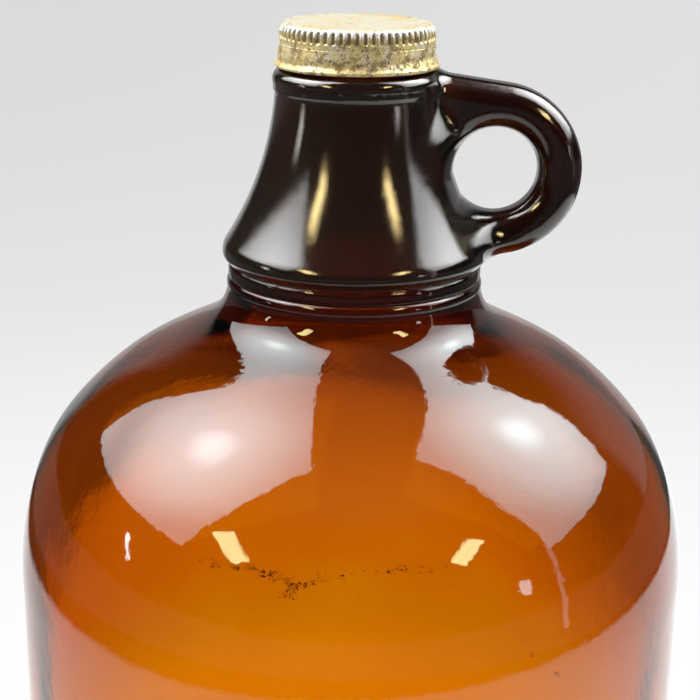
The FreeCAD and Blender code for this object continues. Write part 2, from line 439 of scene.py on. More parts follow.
def outsideAboveAndInside():
    # finish, lip, bore and the inside down to the middle of the floor
    count = outlineCount
    radius = bodyRadius - jug["wall"]
    rounding = jug["finishRound"]
    lipEdge = jug["finish"] - rounding
    opened = jug["ringRadius"] - jug["ringTaper"] - jug["grooveDepth"] - jug["grooveWall"]
    swell = jug["bore"] + (opened - jug["bore"]) * jug["boreSwell"]
    bore = [
        (jug["bore"], stepRingTop),
        (swell, grooveTop + jug["bellHeight"] * jug["boreSwellHeight"]),
        (opened, ringTop),
        (jug["throat"] - jug["collarWall"], throatTop),
    ]
    side = [*shoulderPoints()[1][::-1], (radius, wallTop)]
    floorX = radius - jug["heel"]
    floorZ = jug["base"] + jug["heel"]
    finishLow = (jug["finish"], joinHigh + jug["overlap"])
    finishTop = (jug["finish"], lipTop - rounding)
    return chain(
        straightLine(finishLow, finishTop, count["finish"]),
        arcLine((lipEdge, lipTop - rounding), rounding, 0, 90, count["finishRound"]),
        bulgeLine((lipEdge, lipTop), (jug["bore"], lipTop), -jug["lipDish"], count["lip"]),
        straightLine((jug["bore"], lipTop), (jug["bore"], stepRingTop), count["bore"]),
        uprightCurve(bore + side, count["inside"]),
        straightLine((radius, wallTop), (radius, floorZ), count["wall"]),
        arcLine((floorX, floorZ), jug["heel"], 0, -90, count["heel"]),
        domeLine((floorX, jug["base"]), jug["pushUp"], count["dome"])[::-1],
    )


def lathe(outline, segments, firstVertex, onAxis=1e-6):
    # rows of the outline turned about the axis; a row on the axis is a single vertex
    verts = []
    rows = []
    turn = np.arange(segments) * 2 * np.pi / segments
    for radius, height in outline:
        if radius < onAxis:
            rows.append([firstVertex + len(verts)] * segments)
            verts.append((0.0, 0.0, height))
            continue
        rows.append(list(range(firstVertex + len(verts), firstVertex + len(verts) + segments)))
        verts.extend(zip(radius * np.cos(turn), radius * np.sin(turn), np.full(segments, height)))
    faces = []
    for low, high in zip(rows[:-1], rows[1:]):
        for i in range(segments):
            j = (i + 1) % segments
            corners = (low[i], low[j], high[j], high[i])
            faces.append(tuple(dict.fromkeys(corners)))
    return np.array(verts), faces, rows


line = neckLine()
lineSlope = np.gradient(line[:, 0], line[:, 1])
handleOuter = handle["hole"] + handle["width"]
handleX = jug["neck"] + handle["clear"] + handle["hole"]
armRun = math.tan(math.radians(handle["topSlope"]))
armCos = math.cos(math.radians(handle["topSlope"]))
armAtBead = beadTop - handle["topDrop"]
beadX = jug["neck"] + jug["beadProud"]
handleZ = armAtBead - (handleX - beadX) * armRun - handleOuter / armCos
footWay = math.radians(handle["footLean"] - 90)
footX = handleX + (handleOuter + handle["foot"]) * math.cos(footWay)
footZ = handleZ + (handleOuter + handle["foot"]) * math.sin(footWay)


def smoothStep(value, low, high):
    share = np.clip((value - low) / (high - low), 0, 1)
    return share * share * (3 - 2 * share)


def smoothMin(first, second, reach):
    share = np.clip(0.5 + 0.5 * (second - first) / reach, 0, 1)
    return second + (first - second) * share - reach * share * (1 - share)


def neckField(points):
    # signed distance, near enough, to the outside of bell, bead, finish and handle
    x, y, z = points.T
    radial = np.hypot(x, y)
    radius = np.interp(z, line[:, 1], line[:, 0])
    slope = np.interp(z, line[:, 1], lineSlope)
    bell = (radial - radius) / np.sqrt(1 + slope ** 2)
    bell = -smoothMin(-bell, -(z - beadTop), jug["beadFillet"])
    glass = smoothMin(bell, radial - jug["finish"], jug["finishFillet"])
    across, up = x - handleX, z - handleZ
    away = np.hypot(across, up)
    turn = np.degrees(np.arctan2(up, across))
    arm = (z - (armAtBead - (x - beadX) * armRun)) * armCos
    foot = handle["foot"] - np.hypot(x - footX, z - footZ)
    onRing = (turn > handle["footLean"] - 90) & (turn < 90 - handle["topSlope"])
    side = np.where(onRing, away - handleOuter, np.maximum(arm, foot))
    rounding = handle["round"]
    flank = np.abs(y) - (handle["thick"] / 2 - rounding)
    side = side + rounding
    ring = np.hypot(np.maximum(side, 0), np.maximum(flank, 0))
    ring = ring + np.minimum(np.maximum(side, flank), 0) - rounding
    ring = ring - handle["seam"] * np.exp(-(y / handle["seamWidth"]) ** 2)
    ring = np.maximum(ring, jug["neck"] / 2 - x)
    clear = smoothStep(z, ringTop, grooveTop + handle["blendRise"])
    soft = handle["blendAtRing"] + handle["blend"] * clear
    nearBead = smoothStep(z, neckTop - handle["beadBlendLow"], neckTop - handle["beadBlendHigh"])
    soft = soft + (handle["blendAtBead"] - soft) * nearBead
    joined = smoothMin(glass, ring, soft)
    # the finger hole is cut last, its edges as round as the ring's
    joined = -smoothMin(-joined, away - handle["hole"], rounding / handle["holeSoftness"])
    return np.minimum(glass, joined)


def fieldSlope(points, reach=0.06):
    slope = np.empty_like(points)
    for axis in range(3):
        step = np.zeros(3)
        step[axis] = reach
        slope[:, axis] = (neckField(points + step) - neckField(points - step)) / (2 * reach)
    return slope


def settle(points, rounds=3, leastSteep=0.2):
    # slide the points square onto the surface
    for _ in range(rounds):
        slope = fieldSlope(points)
        steep = np.maximum((slope ** 2).sum(1), leastSteep)
        points = points - slope * (neckField(points) / steep)[:, None]
    return points


def crossings(value, axis, low, cellSize):
    # grid edges along one axis that pass through the surface, and where they do
    first = [slice(None)] * 3
    second = [slice(None)] * 3
    first[axis] = slice(0, -1)
    second[axis] = slice(1, None)
    a, b = value[tuple(first)], value[tuple(second)]
    start = np.argwhere((a < 0) != (b < 0))
    share = a[tuple(start.T)] / (a[tuple(start.T)] - b[tuple(start.T)])
    place = low + cellSize * start
    place[:, axis] += share * cellSize[axis]
    return start, place


def neckMesh():
    # net of one vertex per grid cell that the surface crosses
    size = handle["grid"]
    reach = bodyRadius * handle["gridReach"]
    low = np.array([-reach, -reach, joinLow - size / 2])
    high = np.array([handleX + handleOuter + handle["gridMargin"], reach, joinHigh + size / 2])
    count = np.ceil((high - low) / size).astype(int)
    cellSize = np.array([size, size, (high[2] - low[2]) / count[2]])
    spots = [low[a] + cellSize[a] * np.arange(count[a] + 1) for a in range(3)]
    grid = np.stack(np.meshgrid(*spots, indexing="ij"), -1)
    value = neckField(grid.reshape(-1, 3)).reshape(grid.shape[:3])
    inside = value < 0
    cells = tuple(count)
    total = np.zeros(cells + (3,))
    hits = np.zeros(cells)
    quads = []
    for axis in range(3):
        start, place = crossings(value, axis, low, cellSize)
        u, v = (axis + 1) % 3, (axis + 2) % 3
        around = []
        usable = np.ones(len(start), bool)
        for du, dv in ((0, 0), (-1, 0), (-1, -1), (0, -1)):
            cell = start.copy()
            cell[:, u] += du
            cell[:, v] += dv
            good = ((cell >= 0) & (cell < np.array(cells))).all(1)
            np.add.at(total, tuple(cell[good].T), place[good])
            np.add.at(hits, tuple(cell[good].T), 1)
            usable &= good
            around.append(cell)
        ring = np.stack(around, 1)[usable]
        flip = inside[tuple(start[usable].T)]
        ring[~flip] = ring[~flip][:, ::-1]
        quads.append(ring)
    used = hits > 0
    vertexOf = np.full(cells, -1)
    vertexOf[used] = np.arange(used.sum())
    points = total[used] / hits[used][:, None]
    faces = np.vstack([vertexOf[tuple(np.moveaxis(ring, -1, 0))] for ring in quads])
    return points, faces


def edgePairs(faces):
    return np.vstack([faces[:, [i, (i + 1) % 4]] for i in range(4)])


def edgeLoops(faces):
    # open edges of the net, followed round into loops
    known = {(int(a), int(b)) for a, b in edgePairs(faces)}
    following = {a: b for a, b in known if (b, a) not in known}
    loops = []
    while following:
        start = next(iter(following))
        loop = [start]
        spot = following.pop(start)
        while spot != start:
            loop.append(spot)
            spot = following.pop(spot)
        loops.append(loop)
    return loops


def stitch(lowLoop, highLoop, points):
    # triangles between two loops round the axis, whatever their counts
    turns = []
    for loop in (lowLoop, highLoop):
        turn = np.arctan2(points[loop, 1], points[loop, 0])
        turns.append((np.array(loop)[np.argsort(turn)], np.sort(turn)))
    (low, lowTurn), (high, highTurn) = turns
    faces = []
    i = j = 0
    while i < len(low) or j < len(high):
        nextLow = lowTurn[(i + 1) % len(low)] + 2 * np.pi * ((i + 1) // len(low))
        nextHigh = highTurn[(j + 1) % len(high)] + 2 * np.pi * ((j + 1) // len(high))
        a, b = int(low[i % len(low)]), int(high[j % len(high)])
        if j >= len(high) or (i < len(low) and nextLow <= nextHigh):
            faces.append((a, int(low[(i + 1) % len(low)]), b))
            i += 1
        else:
            faces.append((a, int(high[(j + 1) % len(high)]), b))
            j += 1
    return faces


def evenOut(points, faces, fixed, rounds=4, pull=0.6):
    # move each vertex towards the middle of its neighbours, then back onto the surface
    pairs = edgePairs(faces)
    pairs = np.vstack([pairs, pairs[:, ::-1]])
    count = np.bincount(pairs[:, 0], minlength=len(points))[:, None]
    free = (count > 0) & ~fixed[:, None]
    for _ in range(rounds):
        middle = np.zeros_like(points)
        np.add.at(middle, pairs[:, 0], points[pairs[:, 1]])
        middle = middle / np.maximum(count, 1)
        points = np.where(free, (1 - pull) * points + pull * middle, points)
        points = np.where(free, settle(points, 1), points)
    return points


def waves(points, length, seed, ways=7, peak=4.5, shortest=0.6, longest=1.6):
    # soft random swell, between about -1 and 1 as peak is what the sum reaches
    pick = np.random.default_rng(seed)
    total = np.zeros(len(points))
    for _ in range(ways):
        way = pick.normal(size=3)
        way = way / np.linalg.norm(way)
        pace = 2 * np.pi / (length * pick.uniform(shortest, longest))
        total += np.sin(points @ way * pace + pick.uniform(0, 2 * np.pi))
    return total / peak


def blowUneven(points, isInside):
    # blown glass is never quite even: the inside wanders more than the moulded skin
    height = points[:, 2]
    radial = np.hypot(points[:, 0], points[:, 1])
    reach = np.where(isInside, jug["wallWave"], jug["skinWave"])
    stop = beadTop - jug["waveStops"]
    reach = reach * smoothStep(height, *jug["waveStarts"]) * (1 - smoothStep(height, stop, beadTop))
    tall = points * np.array([1, 1, jug["waveStretch"]])
    swell = waves(tall, jug["wallWaveLength"], jug["wallSeed"]) * isInside
    swell = swell + waves(points, jug["skinWaveLength"], jug["skinSeed"]) * ~isInside
    scale = 1 + reach * swell / np.maximum(radial, 1.0)
    points[:, :2] *= scale[:, None]


def makeJug(material):
    segments = jug["segments"]
    below, belowFaces, belowRows = lathe(outsideBelow(), segments, 0)
    above, aboveFaces, aboveRows = lathe(outsideAboveAndInside(), segments, len(below))
    net, netFaces = neckMesh()
    net = settle(net)
    loops = sorted(edgeLoops(netFaces), key=lambda loop: net[loop, 2].mean())
    fixed = np.zeros(len(net), bool)
    for loop, height in ((loops[0], joinLow), (loops[-1], joinHigh)):
        fixed[loop] = True
        radius = np.interp(height, line[:, 1], line[:, 0]) if height < beadTop else jug["finish"]
        radial = np.hypot(net[loop, 0], net[loop, 1])[:, None]
        net[loop, :2] *= radius / radial
        net[loop, 2] = height
    net = evenOut(net, netFaces, fixed)
    net = np.where(fixed[:, None], net, settle(net, 2))
    shift = len(below) + len(above)
    points = np.vstack([below, above, net])
    faces = belowFaces + aboveFaces + (netFaces + shift).tolist()
    faces += stitch(belowRows[-1], [v + shift for v in loops[0]], points)
    faces += stitch([v + shift for v in loops[-1]], aboveRows[0], points)
    lipRows = sum(outlineCount[part] for part in ("finish", "finishRound", "lip"))
    isInside = np.zeros(len(points), bool)
    isInside[len(below) + lipRows * segments:shift] = True
    blowUneven(points, isInside)
    piece = makePiece("amberJug", points, faces, material)
    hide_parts("jug")
    return piece


# lengths in metres; a pair is where a change over the glass starts and ends
amber = {
    "ior": 1.51,
    "roughness": 0.0,
    "absorb": (0.962, 0.889, 0.06),     # what the glass lets by
    "absorbStrength": 2000.0,           # per metre
    "bodyTint": (1.0, 1.0, 1.0),
    "filmTint": (0.965, 0.715, 0.58),   # dried film left above the tide line
    "filmHeights": (0.102, 0.130),
    "filmWander": 0.03,                 # how far the tide line strays
    "filmWanderSize": 45.0,
    "neckTint": (0.13, 0.09, 0.06),
    "neckTintHeights": (0.180, 0.240),
    "neckTintPower": 2.6,               # higher keeps the dense tint nearer the neck
    "backClear": 0.75,                  # share of it left out at the back of the shoulder
    "backClearHeights": (0.231, 0.235),
    "backClearReach": (0.0, 0.02),
    "handleTint": (0.05, 0.03, 0.02),
    "handleHeights": (0.234, 0.240),
    "handleReach": (0.019, 0.027),      # distance from the axis where the handle begins
    "glossTint": (0.58, 0.92, 0.98),    # tint of the gloss on the thin body glass
    "plainGloss": (1.0, 1.0, 1.0),
    "neckDust": 0.08,                   # share of the neck's surface that is dull
    "neckDustHeights": (0.232, 0.240),
    "neckRoughness": 0.11,
    "neckCoat": 0.6,                    # crisp second layer of gloss on the neck
    "neckGlossHeights": (0.2385, 0.241),
    "coatRoughness": 0.05,
    "grainSize": 3300.0,                # fine mottle that breaks up edges in the gloss
    "grainDepth": 0.000017,             # on the neck and handle only
    "grainHeights": (0.236, 0.242),
    "rippleSize": 800.0,                # on the outside only
    "rippleDepth": 0.000012,
    "rippleReach": (0.0806, 0.0812),
    "rippleHeights": (0.168, 0.176),
    "swellSize": 300.0,
    "swellDepth": 0.000022,
    "waveSize": 70.0,
    "waveDepth": 0.00004,
}


def glassTint(place, x, y, z):
    # film above the tide line, denser neck and handle; also the share of dense glass
    dense = maths("POWER", spread(z, *amber["neckTintHeights"]), amber["neckTintPower"])
    clear = spread(y, *amber["backClearReach"], 0.0, amber["backClear"])
    clear = times(clear, spread(z, *amber["backClearHeights"], 1.0, 0.0))
    dense = times(dense, minus(1.0, clear))
    onHandle = times(spread(x, *amber["handleReach"]), spread(z, *amber["handleHeights"]))
    stray = minus(noiseTexture(place, amber["filmWanderSize"]), 0.5)
    level = plus(z, times(stray, amber["filmWander"]))
    film = spread(level, *amber["filmHeights"])
    tint = mixColour(film, amber["bodyTint"], amber["filmTint"])
    tint = mixColour(dense, tint, amber["neckTint"])
    return mixColour(onHandle, tint, amber["handleTint"]), dense


def glassSkin(place, x, y, z):
    # grain on the neck, ripple on the outside, swell and wave all over
    grain = noiseTexture(place, amber["grainSize"], 1.0)
    grain = times(grain, spread(z, *amber["grainHeights"]))
    flat = node(place, "ShaderNodeCombineXYZ")
    wire(x, flat.inputs["X"])
    wire(y, flat.inputs["Y"])
    outside = spread(reachFrom(flat.outputs["Vector"]), *amber["rippleReach"])
    outside = greater(outside, spread(z, *amber["rippleHeights"]))
    ripple = times(noiseTexture(place, amber["rippleSize"], 2.0), outside)
    swell = noiseTexture(place, amber["swellSize"], 1.0)
    wave = noiseTexture(place, amber["waveSize"], 1.0)
    normal = None
    for name, height in (("grain", grain), ("ripple", ripple), ("swell", swell), ("wave", wave)):
        normal = bump(amber[name + "Depth"], height, normal)
    return normal


def amberGlass():
    material, tree = newMaterial("amberGlass")
    place = objectPlace(tree)
    x, y, z = separate(place)
    glass = node(tree, "ShaderNodeBsdfPrincipled")
    glass.inputs["IOR"].default_value = amber["ior"]
    glass.inputs["Coat Roughness"].default_value = amber["coatRoughness"]
    tint, dense = glassTint(place, x, y, z)
    wire(tint, glass.inputs["Base Color"])
    clean = spread(z, *amber["neckDustHeights"], 1.0, 1.0 - amber["neckDust"])
    wire(clean, glass.inputs["Transmission Weight"])
    glossHeights = amber["neckGlossHeights"]
    rough = spread(z, *glossHeights, amber["roughness"], amber["neckRoughness"])
    wire(rough, glass.inputs["Roughness"])
    wire(spread(z, *glossHeights, 0.0, amber["neckCoat"]), glass.inputs["Coat Weight"])
    gloss = mixColour(dense, amber["glossTint"], amber["plainGloss"])
    wire(gloss, glass.inputs["Specular Tint"])
    normal = glassSkin(place, x, y, z)
    wire(normal, glass.inputs["Normal"])
    wire(normal, glass.inputs["Coat Normal"])
    inside = node(tree, "ShaderNodeVolumeAbsorption")
    inside.inputs["Color"].default_value = (*amber["absorb"], 1.0)
    inside.inputs["Density"].default_value = amber["absorbStrength"]
    output = showSurface(glass)
    wire(inside.outputs[0], output.inputs["Volume"])
    return material


# millimetres; turns are degrees round the jug from the handle's side
dirt = {
    "along": 210,           # specks along the tide line on the far wall
    "alongTurns": ((95, 118), (68, 128)),
    "alongStray": 0.9,
    "cluster": 34,
    "clusterTurn": (103, 1.3),      # middle and spread
    "clusterHeight": (109.5, 1.8),
    "stray": 34,
    "strayTurns": (25, 155),
    "strayHeights": (60, 150),
    # height of the tide line at each turn
    "turns": (68, 78, 90, 100, 106, 112, 128),
    "heights": (119.0, 117.0, 113.5, 111.0, 114.5, 119.5, 127.0),
    "smallest": 0.16,
    "largest": 0.50,
    "smallShare": 2.5,      # higher makes more of the specks small
    "corners": 8,
    "ragged": (0.55, 1.3),
    "thick": 0.35,          # half thickness, as a share of the speck's size
    "inward": 0.45,         # how far a speck stands in from the wall, as a share of its size
    "clear": 0.30,          # and its gap to the wall
    "colour": (0.075, 0.016, 0.005),
    "lighter": 1.8,
    "shadeSize": 900.0,
    "roughness": 0.8,
}


def speck(size):
    # flat irregular crumb, its thin way along x
    corners = dirt["corners"]
    turn = np.arange(corners) * 2 * np.pi / corners
    reach = size * rng.uniform(*dirt["ragged"], corners)
    rim = np.column_stack([np.zeros(corners), reach * np.cos(turn), reach * np.sin(turn)])
    tops = np.array([[dirt["thick"] * size, 0, 0], [-dirt["thick"] * size, 0, 0]])
    faces = []
    for i in range(corners):
        j = (i + 1) % corners
        faces += [(i, j, corners), (j, i, corners + 1)]
    return np.vstack([rim, tops]), faces


def driedDirt():
    material, tree = newMaterial("driedDirt")
    crumb = node(tree, "ShaderNodeBsdfPrincipled", Roughness=dirt["roughness"])
    place = objectPlace(tree)
    lighter = tuple(dirt["lighter"] * part for part in dirt["colour"])
    colour = mixColour(noiseTexture(place, dirt["shadeSize"]), dirt["colour"], lighter)
    wire(colour, crumb.inputs["Base Color"])
    showSurface(crumb)
    return material


def dirtSpots():
    # turn and height of each speck
    spots = []
    for i in range(dirt["along"]):
        turn = rng.uniform(*dirt["alongTurns"][i % 2])
        height = np.interp(turn, dirt["turns"], dirt["heights"])
        spots.append((turn, height + rng.normal(0, dirt["alongStray"])))
    for _ in range(dirt["cluster"]):
        spots.append((rng.normal(*dirt["clusterTurn"]), rng.normal(*dirt["clusterHeight"])))
    for _ in range(dirt["stray"]):
        spots.append((rng.uniform(*dirt["strayTurns"]), rng.uniform(*dirt["strayHeights"])))
    return spots


def makeDirt(material):
    verts = []
    faces = []
    for i, (turn, height) in enumerate(dirtSpots()):
        share = rng.uniform(0, 1) ** dirt["smallShare"]
        size = dirt["smallest"] + (dirt["largest"] - dirt["smallest"]) * share
        shape, shapeFaces = speck(size)
        radius = bodyRadius - jug["wall"] - dirt["inward"] * size - dirt["clear"]
        c, s = math.cos(math.radians(turn)), math.sin(math.radians(turn))
        verts.append(np.column_stack([(shape[:, 0] + radius) * c - shape[:, 1] * s,
                                      (shape[:, 0] + radius) * s + shape[:, 1] * c,
                                      shape[:, 2] + height]))
        first = i * len(shape)
        faces += [tuple(first + corner for corner in face) for face in shapeFaces]
    makePiece("driedSpecks", np.vstack(verts), faces, material)


cap = {
    "tin": 0.3,
    "panel": 16.4,
    "side": 18.3,
    "shoulder": 2.1,
    "shoulderRound": 1.9,
    "knurls": 62,
    "knurlTop": 1.5,        # the knurls start above the shoulder and end below it
    "knurlLow": -1.5,
    "knurlWidth": 0.70,
    "knurlFloor": 0.12,     # flat width at the bottom of a knurl
    "knurlDepth": 0.50,
    "perKnurl": 12,         # vertices across each knurl
    "waistDrop": 2.9,
    "waist": 0.04,
    "waistHalf": 0.12,      # half its height
    "flare": 0.5,
    "curl": 1.24,           # height of the rolled rim
    "curlProud": 0.65,
    "hem": 0.05,            # the curl's inner edge stands in by this, and up by the next
    "hemRise": 0.12,
    "sideFade": (1.4, 0.7),     # in from the side, where the pressing fades out on top
    "threadPitch": 4.2,
    "threadDepth": 0.34,
    "threadWidth": 0.85,
    "threadStart": 3.3,     # above the rim, at the back
    "threadFrom": (-0.75, -0.55),   # turns where the thread runs in and out
    "threadTo": (0.5, 0.7),
    "threadInKnurl": 0.5,   # how much the knurls hold it back
    # share of the thread's groove that gets the knurls' grime and painted shade
    "threadGrimeAndShade": 0.45,
    "dents": 0.07,
    "dentSizes": ((5.5, 11, 1.0), (1.6, 12, 0.3)),      # length, seed, share
    "panelFade": (-2.0, 0.5),
    "sag": 0.2,             # the top's panel hangs by this
    "sagSizes": ((16.0, 13, 0.14), (4.0, 14, 0.05)),
    # points along each stretch of the outline
    "count": {"top": 26, "corner": 12, "side": 20, "waist": 9, "skirt": 14, "curl": 13},
}
capHeight = (capHigh.z - capLow.z) * toMm
capShoulder = capHeight - cap["shoulder"]


def capOutline(inset):
    # from the middle of the top, out and down; height above the rim
    count = cap["count"]
    top = capHeight - inset
    side = cap["side"] - inset
    across = cap["shoulderRound"] - inset
    turn = np.radians(np.linspace(90, 0, count["corner"]))
    corner = np.column_stack([side - across + across * np.cos(turn),
                              capShoulder + (top - capShoulder) * np.sin(turn)])
    waistZ = capShoulder - cap["waistDrop"]
    half = cap["waistHalf"]
    return chain(
        straightLine((0.0, top), tuple(corner[0]), count["top"]),
        corner,
        straightLine((side, capShoulder), (side, waistZ + half), count["side"]),
        bulgeLine((side, waistZ + half), (side, waistZ - half), -cap["waist"], count["waist"]),
        straightLine((side, waistZ - half), (side + cap["flare"], cap["curl"]), count["skirt"]),
    )


def knurlShare(turn, height):
    # 1 at the bottom of a knurl, 0 between knurls
    pitch = 2 * np.pi / cap["knurls"]
    offset = ((turn / pitch) % 1 - 0.5) * pitch * cap["side"]
    top = capShoulder + cap["knurlTop"] - cap["knurlWidth"]
    low = capShoulder + cap["knurlLow"] + cap["knurlWidth"]
    beyond = np.maximum(height - top, 0) + np.maximum(low - height, 0)
    away = np.hypot(offset, beyond)
    return 1 - smoothStep(away, cap["knurlFloor"], cap["knurlWidth"] + cap["knurlFloor"])


def threadShare(turn, height):
    share = np.zeros(len(turn))
    for lap in range(-1, 3):
        along = turn / (2 * np.pi) + lap
        centre = along * cap["threadPitch"] + cap["threadStart"]
        ends = smoothStep(along, *cap["threadFrom"]) * (1 - smoothStep(along, *cap["threadTo"]))
        groove = np.exp(-((height - centre) / cap["threadWidth"]) ** 2)
        share = np.maximum(share, groove * ends)
    return share


def pressedTin(points):
    # knurls, rolled thread and dents, pressed in from the outside
    turn = np.arctan2(points[:, 1], points[:, 0])
    radial = np.hypot(points[:, 0], points[:, 1])
    knurl = knurlShare(turn, points[:, 2])
    thread = threadShare(turn, points[:, 2])
    onSide = smoothStep(radial, *[cap["side"] - inward for inward in cap["sideFade"]])
    press = cap["knurlDepth"] * knurl + cap["threadDepth"] * thread * (1 - cap["threadInKnurl"] * knurl)
    for length, seed, share in cap["dentSizes"]:
        press = press + waves(points, length, seed) * cap["dents"] * share
    pressed = points.copy()
    pressed[:, :2] *= (1 - onSide * press / np.maximum(radial, 1))[:, None]
    onPanel = 1 - smoothStep(radial, *[cap["panel"] + out for out in cap["panelFade"]])
    sag = -cap["sag"]
    for length, seed, share in cap["sagSizes"]:
        sag = sag + waves(points, length, seed) * share
    pressed[:, 2] += onPanel * np.minimum(sag, 0.0)
    # the second value marks the recesses that get grime and painted shade: the knurls, and the thread
    # less
    return pressed, onSide * np.maximum(knurl, cap["threadGrimeAndShade"] * thread)


def makeCap(material):
    outer = capOutline(0.0)
    inner = capOutline(cap["tin"])[::-1]
    edge = outer[-1][0]
    curlWay = np.radians(np.linspace(90, -90, cap["count"]["curl"])[1:-1])
    curl = np.column_stack([edge + cap["curlProud"] * np.cos(curlWay),
                            cap["curl"] / 2 + cap["curl"] / 2 * np.sin(curlWay)])
    under = np.array([[edge, 0.0], [inner[0][0] - cap["hem"], cap["hemRise"]]])
    outline = np.vstack([outer, curl, under, inner])
    verts, faces, _ = lathe(outline, cap["knurls"] * cap["perKnurl"], 0)
    faces = [face[::-1] for face in faces]
    pressed, recess = pressedTin(verts)
    pressed[:, 2] += capLow.z * toMm
    piece = makePiece("tinCap", pressed, faces, material)
    attribute = piece.data.attributes.new("recess", "FLOAT", "POINT")
    attribute.data.foreach_set("value", recess.astype(np.float32))
    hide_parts("cap")


capLook = {
    "tin": (0.84, 0.83, 0.76),
    "lacquer": (0.91, 0.73, 0.33),
    "cream": (0.92, 0.86, 0.66),
    "rust": (0.17, 0.10, 0.035),
    "olive": (0.27, 0.19, 0.07),
    "slotGrimeAndShade": (0.22, 0.165, 0.08),    # grime and painted shade in the knurls and thread
    # painted shade: the whole top is toned towards olive to darken it
    "topPaintedShade": 0.17,
    # noise: size, detail, roughness
    "broad": (130.0, 4.0, 0.6),
    "patches": (400.0, 6.0, 0.70),
    "fine": (900.0, 5.0, 0.7),
    "grit": (2600.0, 3.0, 0.6),
    # heights in metres where each zone starts and is full: down from the top, or up from the rim
    "sideDrop": (0.0010, 0.0026),
    "topDrop": (0.0007, 0.0003),
    "curlRise": (0.0016, 0.0011),
    # how much more or less of each finish there is in a zone
    "lacquerAt": {"side": 0.17},
    "bareAt": {"shoulder": 0.22, "curl": 0.06, "side": -0.09},
    "stainAt": {"side": 0.12, "curl": -0.03, "rim": 1.0, "top": -0.02},
    "rustAt": {"side": 0.05},
    "rimReach": (0.0125, 0.0160),   # from the axis, where the top is more stained
    "rimStain": 0.07,
    "gritInStain": 0.3,
    "gritInRust": 0.5,
    # the noise levels between which a finish comes in
    "lacquerLevels": (0.48, 0.66),
    "bareLevels": (0.54, 0.62),
    "stainLevels": (0.745, 0.86),
    "stainMost": 0.9,
    "rustLevels": (0.87, 0.95),
    "slotLevels": (0.30, 0.85),
    "slotWear": (0.30, 0.50),
    "slotLeast": 0.45,
    "metallic": 0.35,
    "roughness": 0.36,
    "dullRoughness": 0.8,
    "specular": 0.3,
    "bumpStrength": 0.8,
    "bumpDepth": 0.00012,
}


def capZones(place, height):
    side = spread(height, *[capHigh.z - drop for drop in capLook["sideDrop"]])
    top = spread(height, *[capHigh.z - drop for drop in capLook["topDrop"]])
    curl = spread(height, *[capLow.z + rise for rise in capLook["curlRise"]])
    reach = reachFrom(place, level=capHigh.z)
    rim = times(top, spread(reach, *capLook["rimReach"], 0.0, capLook["rimStain"]))
    shoulder = minus(minus(1.0, top), side)
    return {"side": side, "top": top, "curl": curl, "rim": rim, "shoulder": shoulder}


def wornTin():
    material, tree = newMaterial("wornTin")
    place = objectPlace(tree)
    zones = capZones(place, separate(place)[2])
    broad, patches, fine, grit = [noiseTexture(place, *capLook[name])
                                  for name in ("broad", "patches", "fine", "grit")]

    def level(noise, name):
        for zone, amount in capLook[name + "At"].items():
            noise = plus(noise, times(zones[zone], amount))
        return noise

    lacquered = spread(level(broad, "lacquer"), *capLook["lacquerLevels"])
    colour = mixColour(lacquered, capLook["cream"], capLook["lacquer"])
    # painted shade over the top, in the olive stain colour
    topShade = times(zones["top"], capLook["topPaintedShade"])
    colour = mixColour(topShade, colour, capLook["olive"])
    bare = spread(level(fine, "bare"), *capLook["bareLevels"])
    colour = mixColour(bare, colour, capLook["tin"])
    worn = plus(patches, times(grit, capLook["gritInStain"]))
    stain = spread(level(worn, "stain"), *capLook["stainLevels"], 0.0, capLook["stainMost"])
    colour = mixColour(stain, colour, capLook["olive"])
    pitted = plus(fine, times(grit, capLook["gritInRust"]))
    rust = spread(level(pitted, "rust"), *capLook["rustLevels"])
    colour = mixColour(rust, colour, capLook["rust"])
    # knurl slots and the thread groove are darkened: grime, and painted shade in the recess
    recess = node(tree, "ShaderNodeAttribute", attribute_name="recess").outputs["Fac"]
    slotGrimeAndShade = times(spread(recess, *capLook["slotLevels"]),
                 spread(fine, *capLook["slotWear"], capLook["slotLeast"], 1.0))
    colour = mixColour(slotGrimeAndShade, colour, capLook["slotGrimeAndShade"])
    dull = greater(rust, greater(slotGrimeAndShade, stain))
    tin = node(tree, "ShaderNodeBsdfPrincipled")
    tin.inputs["Specular IOR Level"].default_value = capLook["specular"]
    wire(colour, tin.inputs["Base Color"])
    wire(spread(dull, 0.0, 1.0, capLook["metallic"], 0.0), tin.inputs["Metallic"])
    rough = spread(dull, 0.0, 1.0, capLook["roughness"], capLook["dullRoughness"])
    wire(rough, tin.inputs["Roughness"])
    normal = bump(capLook["bumpDepth"], pitted, strength=capLook["bumpStrength"])
    wire(normal, tin.inputs["Normal"])
    showSurface(tin)
    return material


view = {
    "lens": 82.97,
    "sensor": 36.0,
    "side": -0.0008,
    "back": 0.3784,
    "above": 0.05295,       # above the cap's rim
    "down": 17.97,
    "lean": 0.71,
}


def makeCamera():
    data = bpy.data.cameras.new("camera")
    data.lens = view["lens"]
    data.sensor_width = view["sensor"]
    data.clip_start = 0.01
    camera = newObject("camera", data)
    tilt = Matrix.Rotation(math.radians(90 - view["down"]), 4, "X")
    lean = Matrix.Rotation(math.radians(view["lean"]), 4, "Z")
    spot = Matrix.Translation((view["side"], -view["back"], capLow.z + view["above"]))
    camera.matrix_world = spot @ tilt @ lean
    bpy.context.scene.camera = camera
    print("camera set")


